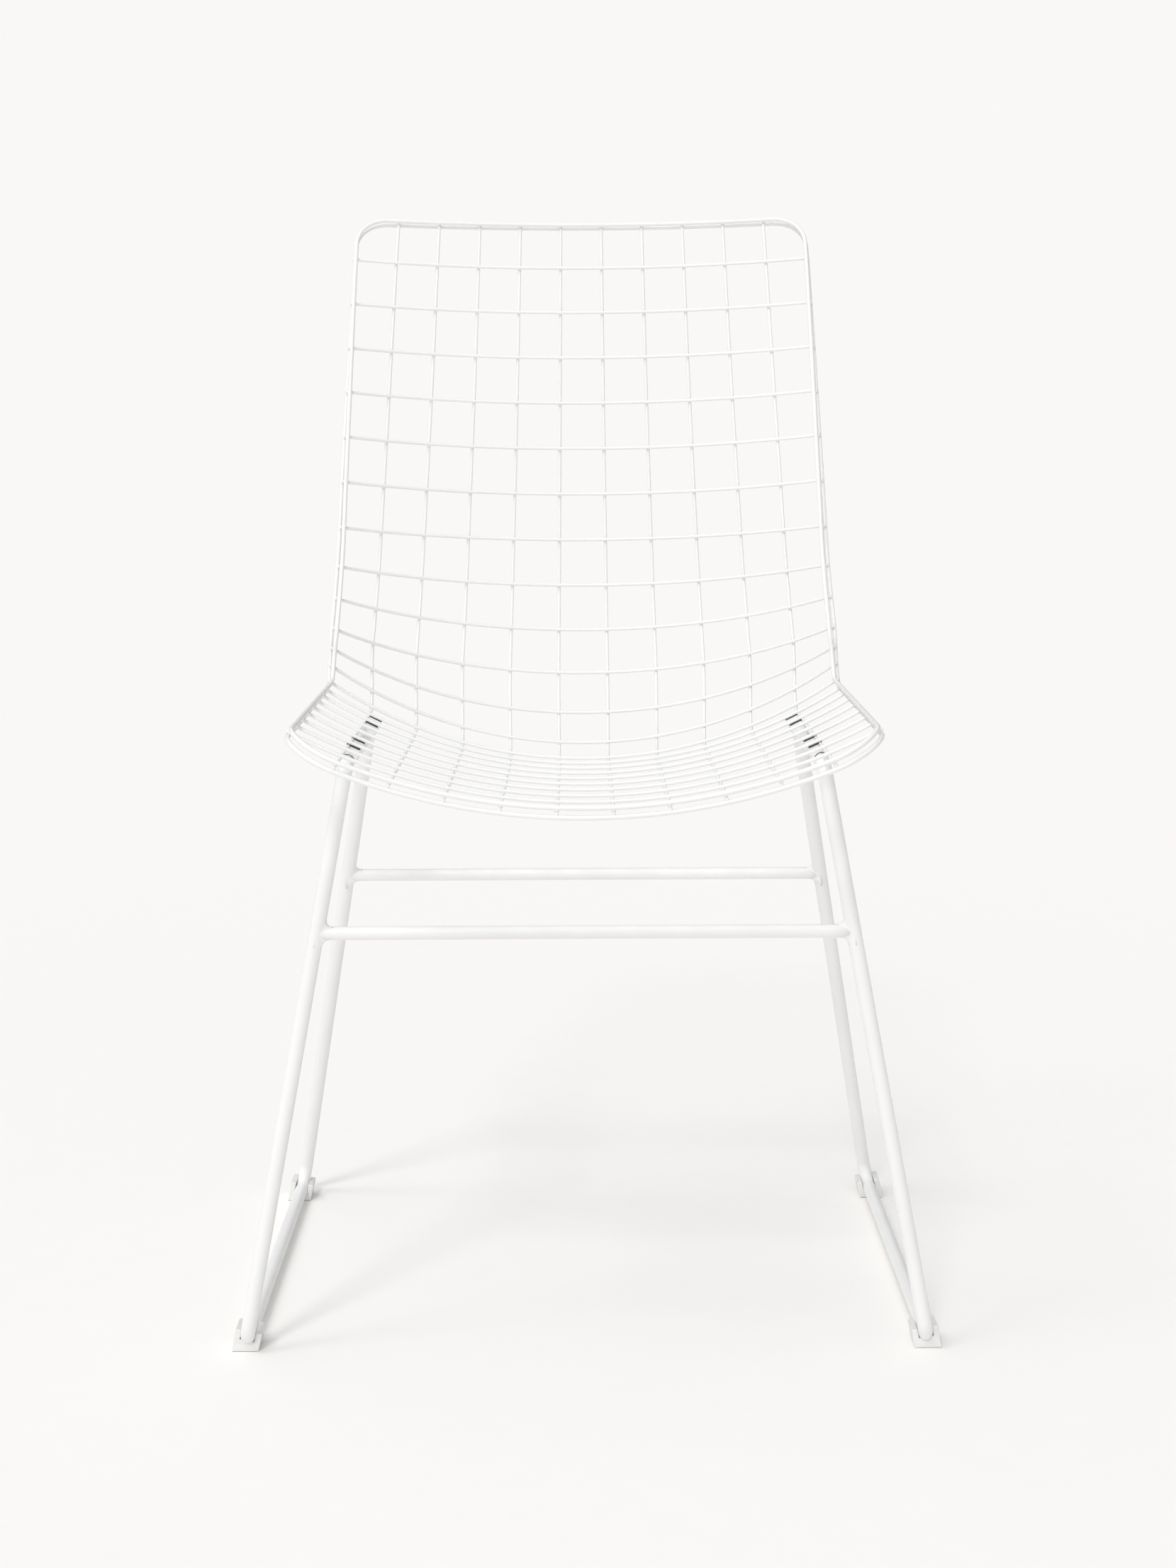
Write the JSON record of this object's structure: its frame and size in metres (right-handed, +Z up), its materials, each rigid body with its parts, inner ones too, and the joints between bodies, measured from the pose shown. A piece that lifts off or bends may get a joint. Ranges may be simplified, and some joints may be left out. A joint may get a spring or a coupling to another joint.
{
  "type": "wire mesh dining chair",
  "caption": "Dining chair with a one-piece bucket shell of welded wire mesh, held by four clips on a splayed rod sled base with two stretchers and plastic glides.",
  "frame": {"origin": "on the floor, under the middle of the chair", "axes": "+Z up; the sitter looks towards -Y; +X is the sitter's left, and the chair is the same on both sides of X = 0"},
  "size_m": [0.5348, 0.5646, 0.8662],
  "materials": {
    "frame_paint": "satin white powder coat",
    "wire_paint": "satin white powder coat",
    "glide_plastic": "slightly cloudy pale plastic",
    "clip_nylon": "white nylon, with black liner strips under the wires",
    "screw_steel": "zinc-plated steel"
  },
  "bodies": {
    "root": {"clip_screws": "screw_steel", "cross_wire_01": "wire_paint", "cross_wire_02": "wire_paint", "cross_wire_03": "wire_paint", "cross_wire_04": "wire_paint", "cross_wire_05": "wire_paint", "cross_wire_06": "wire_paint", "cross_wire_07": "wire_paint", "cross_wire_08": "wire_paint", "cross_wire_09": "wire_paint", "cross_wire_10": "wire_paint", "cross_wire_11": "wire_paint", "cross_wire_12": "wire_paint", "cross_wire_13": "wire_paint", "cross_wire_14": "wire_paint", "cross_wire_15": "wire_paint", "cross_wire_16": "wire_paint", "cross_wire_17": "wire_paint", "cross_wire_18": "wire_paint", "cross_wire_19": "wire_paint", "cross_wire_20": "wire_paint", "cross_wire_21": "wire_paint", "front_stretcher": "frame_paint", "glide_front_left": "glide_plastic", "glide_front_right": "glide_plastic", "glide_rear_left": "glide_plastic", "glide_rear_right": "glide_plastic", "long_wire_01": "wire_paint", "long_wire_02": "wire_paint", "long_wire_03": "wire_paint", "long_wire_04": "wire_paint", "long_wire_05": "wire_paint", "long_wire_06": "wire_paint", "long_wire_07": "wire_paint", "long_wire_08": "wire_paint", "long_wire_09": "wire_paint", "long_wire_10": "wire_paint", "lower_rim": "wire_paint", "rear_stretcher": "frame_paint", "seat_clip_front_left": "clip_nylon", "seat_clip_front_right": "clip_nylon", "seat_clip_rear_left": "clip_nylon", "seat_clip_rear_right": "clip_nylon", "side_frame_left": "frame_paint", "side_frame_right": "frame_paint", "upper_rim": "wire_paint"}
  },
  "joints": []
}
